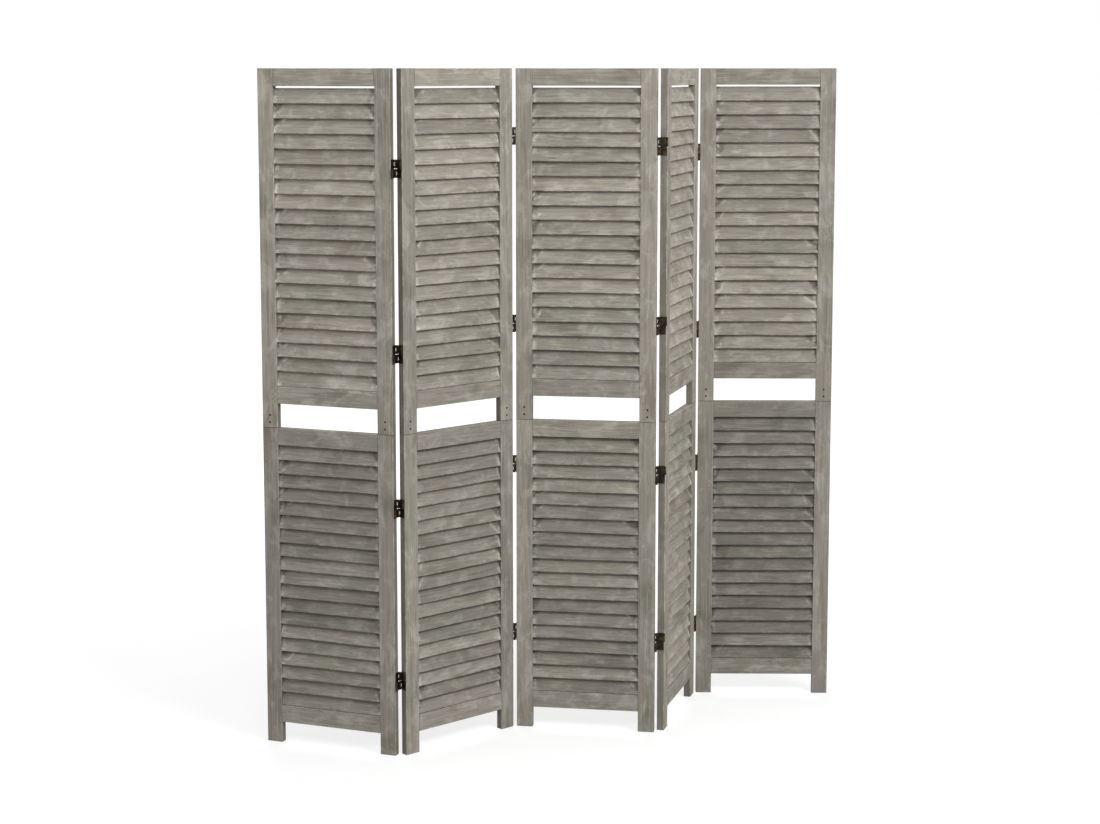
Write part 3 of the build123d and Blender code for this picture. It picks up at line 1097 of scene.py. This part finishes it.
    def warp_between_grooves(self, louvre: bpy.types.Object, half: HalfFrame) -> None:
        """Warp the slats as thin boards do, but not where the stiles hold them.

        Args:
            louvre: The louvre, in the panel's own axes.
            half: The half frame.
        """
        held = "between_grooves"
        free = louvre.vertex_groups.new(name=held)
        reach = self.sizes.panel_width / 2 - self.sizes.stile
        middles = self.sizes.slat_middles(half)
        for point in louvre.data.vertices:
            gap = reach - abs(point.co.x - self.sizes.panel_width / 2)
            weight = max(0.0, min(1.0, gap / self.grip_fade))
            end_gap = min(point.co.z - middles[0], middles[-1] - point.co.z)
            if end_gap < self.sizes.slat_rise / 2:
                weight *= self.rail_warp_share
            free.add([point.index], weight, "REPLACE")
        upright_grain = self.warp_grain * self.upright_grain_share
        for axis, grain in (("Y", self.warp_grain), ("Z", upright_grain)):
            cloud = bpy.data.textures.new(f"{louvre.name}_warp_{axis}", "CLOUDS")
            cloud.noise_scale = grain
            cloud.noise_depth = 2
            warp = louvre.modifiers.new(f"warp_{axis}", "DISPLACE")
            warp.texture = cloud
            warp.texture_coords = "LOCAL"
            warp.direction = axis
            warp.strength = self.warp
            warp.mid_level = 0.5
            warp.vertex_group = held
            bpy.ops.object.modifier_apply(modifier=warp.name)

    def clear_away(self) -> None:
        """Remove the pattern slat once every louvre is made."""
        bpy.data.objects.remove(self.master, do_unlink=True)


@dataclass
class LouvredPanel:
    """One panel of the screen: its stiles, rails, louvres, dowels, screws and hinge pieces."""

    place: PanelPlace
    sizes: BoardSizes
    slats: SlatMaker
    board_wash: WashedWood
    rail_wash: WashedWood
    slat_finish: bpy.types.Material
    metals: dict[str, bpy.types.Material]
    dowel_finish: bpy.types.Material

    def node(self, name: str) -> bpy.types.Object:
        """The frame's node of this panel with that name."""
        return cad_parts[f"panel_{self.place.number}_{name}"]

    def build(self) -> None:
        """Make the louvres, and dress every piece of the panel."""
        for half in HALVES:
            which = half.half.value
            self.dress(self.node(f"{which}_stiles"), self.board_wash.for_stiles(self.place, half))
            self.dress(self.node(f"{which}_rails"), self.rail_wash.for_rails(self.place, half))
            tone = self.place.tones_and_light[half.half].slats
            louvre = self.slats.louvre(self.place, half, tone, self.slat_finish)
            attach(louvre, f"panel_{self.place.number}")
            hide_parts(f"panel_{self.place.number}_{which}_slats")
            LOG.info("made %s with %d slats", louvre.name, half.slat_count)
        self.dress(self.node("joining_dowels"), self.dowel_finish)
        for name, finish in self.metals.items():
            self.dress(self.node(name), finish)

    @staticmethod
    def dress(piece: bpy.types.Object, finish: bpy.types.Material) -> None:
        """Give a piece one material all over.

        Args:
            piece: The piece.
            finish: The material.
        """
        if piece.data.materials:
            for i in range(len(piece.data.materials)):
                piece.data.materials[i] = finish
        else:
            piece.data.materials.append(finish)
        LOG.info("dressed %s in %s", piece.name, finish.name)


@dataclass(frozen=True)
class HingeLinks:
    """The crossing links in the gaps between the panels."""

    folds: tuple[tuple[int, int], ...] = ((1, 2), (2, 3), (3, 4), (4, 5))

    def dress(self, finish: bpy.types.Material) -> None:
        """Give every link its finish.

        Args:
            finish: The links' material.
        """
        for left, right in self.folds:
            for half in Half:
                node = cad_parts[f"fold_{left}_{right}_{half.value}_links"]
                LouvredPanel.dress(node, finish)


# The studio


@dataclass(frozen=True)
class Lamp:
    """A soft rectangular lamp."""

    name: str
    place: tuple[float, float, float]
    target: tuple[float, float, float]
    width: float
    height: float
    power: float

    def light(self) -> None:
        """Hang the lamp, facing its target."""
        data = bpy.data.lights.new(self.name, "AREA")
        data.shape = "RECTANGLE"
        data.size = self.width
        data.size_y = self.height
        data.energy = self.power
        lamp = bpy.data.objects.new(self.name, data)
        bpy.context.scene.collection.objects.link(lamp)
        lamp.location = self.place
        aim = Vector(self.target) - Vector(self.place)
        lamp.rotation_euler = aim.to_track_quat("-Z", "Y").to_euler()


@dataclass(frozen=True)
class Studio:
    """The pale studio: floor, lamps, surrounding light and camera."""

    lamps: tuple[Lamp, ...] = (
        Lamp("key_lamp", (1.6, -3.2, 3.2), (0.0, 0.0, 1.4), 2.2, 1.2, 103.0),
        Lamp("fill_lamp", (-1.3, -3.3, 3.2), (-0.3, 0.0, 1.4), 1.8, 1.2, 40.0),
        Lamp("back_lamp", (0.4, 3.9, 3.1), (0.0, 0.0, 1.2), 2.6, 1.6, 85.0),
    )
    floor_size: float = 120.0
    floor_grey: float = 0.45
    floor_rough: float = 0.9
    glow_reach: tuple[float, float] = (1.0, 5.0)
    glow: tuple[float, float] = (0.62, 0.86)
    surround: float = 0.48
    camera_place: tuple[float, float, float] = (-1.5388, -5.2229, 1.6599)
    camera_yaw: float = -16.048
    camera_tilt: float = 7.233
    lens: float = 71.6
    sensor: float = 36.0
    shift: float = -0.06

    def build(self) -> None:
        """Set up everything that isn't the screen."""
        self.lay_floor()
        self.surround_with_light()
        for lamp in self.lamps:
            lamp.light()
        self.place_camera()
        bpy.context.scene.view_settings.view_transform = "Standard"

    @staticmethod
    def seen_directly(bench: NodeBench) -> Socket:
        """Tell apart what the camera sees, in a mirror or through glass too.

        Args:
            bench: The bench of a material's or a world's node tree.

        Returns:
            1 for such a ray, and 0 for one that only lights.
        """
        path = bench.add("ShaderNodeLightPath")
        seen = bench.math("MAXIMUM", path.outputs["Is Camera Ray"], path.outputs["Is Glossy Ray"])
        return bench.math("MAXIMUM", seen, path.outputs["Is Transmission Ray"])

    def lay_floor(self) -> None:
        """Lay the pale floor, which keeps the screen's shadow."""
        clear_selection()
        bpy.ops.mesh.primitive_plane_add(size=self.floor_size, location=(0.0, 0.0, 0.0))
        floor = bpy.context.object
        floor.name = "studio_floor"
        bench = new_material("pale_floor")
        shader = principled(bench)
        shader.inputs["Base Color"].default_value = (*[self.floor_grey] * 3, 1.0)
        shader.inputs["Roughness"].default_value = self.floor_rough
        shader.inputs["Specular IOR Level"].default_value = 0.0
        shader.inputs["Emission Color"].default_value = (1.0, 1.0, 1.0, 1.0)
        where = bench.add("ShaderNodeTexCoord").outputs["Object"]
        length = bench.add("ShaderNodeVectorMath", operation="LENGTH")
        bench.feed(length.inputs[0], where)
        seen = self.seen_directly(bench)
        glow = bench.smooth(length.outputs["Value"], *self.glow_reach, *self.glow)
        bench.feed(shader.inputs["Emission Strength"], bench.math("MULTIPLY", glow, seen))
        floor.data.materials.append(bpy.data.materials["pale_floor"])

    def surround_with_light(self) -> None:
        """Light the screen evenly from all round, in front of a white background."""
        world = bpy.data.worlds.new("pale_studio")
        world.use_nodes = True
        world.node_tree.nodes.clear()
        bpy.context.scene.world = world
        bench = NodeBench(world.node_tree)
        light = bench.add("ShaderNodeBackground")
        light.inputs["Strength"].default_value = self.surround
        white = bench.add("ShaderNodeBackground")
        for shader in (light, white):
            shader.inputs["Color"].default_value = (1.0, 1.0, 1.0, 1.0)
        mix = bench.add("ShaderNodeMixShader")
        bench.feed(mix.inputs[0], self.seen_directly(bench))
        bench.feed(mix.inputs[1], light.outputs[0])
        bench.feed(mix.inputs[2], white.outputs[0])
        output = bench.add("ShaderNodeOutputWorld")
        bench.feed(output.inputs["Surface"], mix.outputs[0])

    def place_camera(self) -> None:
        """Stand the camera where the photograph was taken from."""
        data = bpy.data.cameras.new("studio_camera")
        data.sensor_width = self.sensor
        data.lens = self.lens
        data.shift_y = self.shift
        camera = bpy.data.objects.new("studio_camera", data)
        bpy.context.scene.collection.objects.link(camera)
        camera.location = self.camera_place
        upright = math.radians(90.0 - self.camera_tilt)
        camera.rotation_euler = (upright, 0.0, math.radians(self.camera_yaw))
        bpy.context.scene.camera = camera


def main() -> None:
    """Build the looks of every piece in order, and report each through the log."""
    logging.basicConfig(level=logging.INFO, format="%(name)s: %(message)s")
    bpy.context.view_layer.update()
    make_streak_group()
    make_edge_group()
    make_wash_group(WashColours(), WashMarks())
    make_patina_group()
    sizes = BoardSizes()
    board_wash = WashedWood(sizes, rub_length=0.24, rub_width=0.008, edge_rub=0.75)
    rail_wash = WashedWood(sizes, rub_length=0.14, rub_width=0.009, edge_rub=0.6)
    slat_wash = WashedWood(sizes, rub_length=0.085, rub_width=0.0055, edge_rub=1.0, slat_shade_and_rest=1.0)
    slats = SlatMaker(sizes)
    slats.model()
    hinge = BronzedSteel("bronzed_hinge_steel", rubbed=0.5).material()
    metals = {
        "hinge_leaves": hinge,
        "hinge_pins": BronzedSteel("bronzed_pin_steel", rubbed=0.7).material(),
        "screws": BronzedSteel("bronzed_screw_steel", rubbed=0.35).material(),
    }
    slat_finish = slat_wash.for_slats()
    dowel_finish = BareDowelWood().material()
    for place in PLACES:
        LouvredPanel(
            place, sizes, slats, board_wash, rail_wash, slat_finish, metals, dowel_finish
        ).build()
    slats.clear_away()
    HingeLinks().dress(hinge)
    Studio().build()


if __name__ == "__main__":
    main()
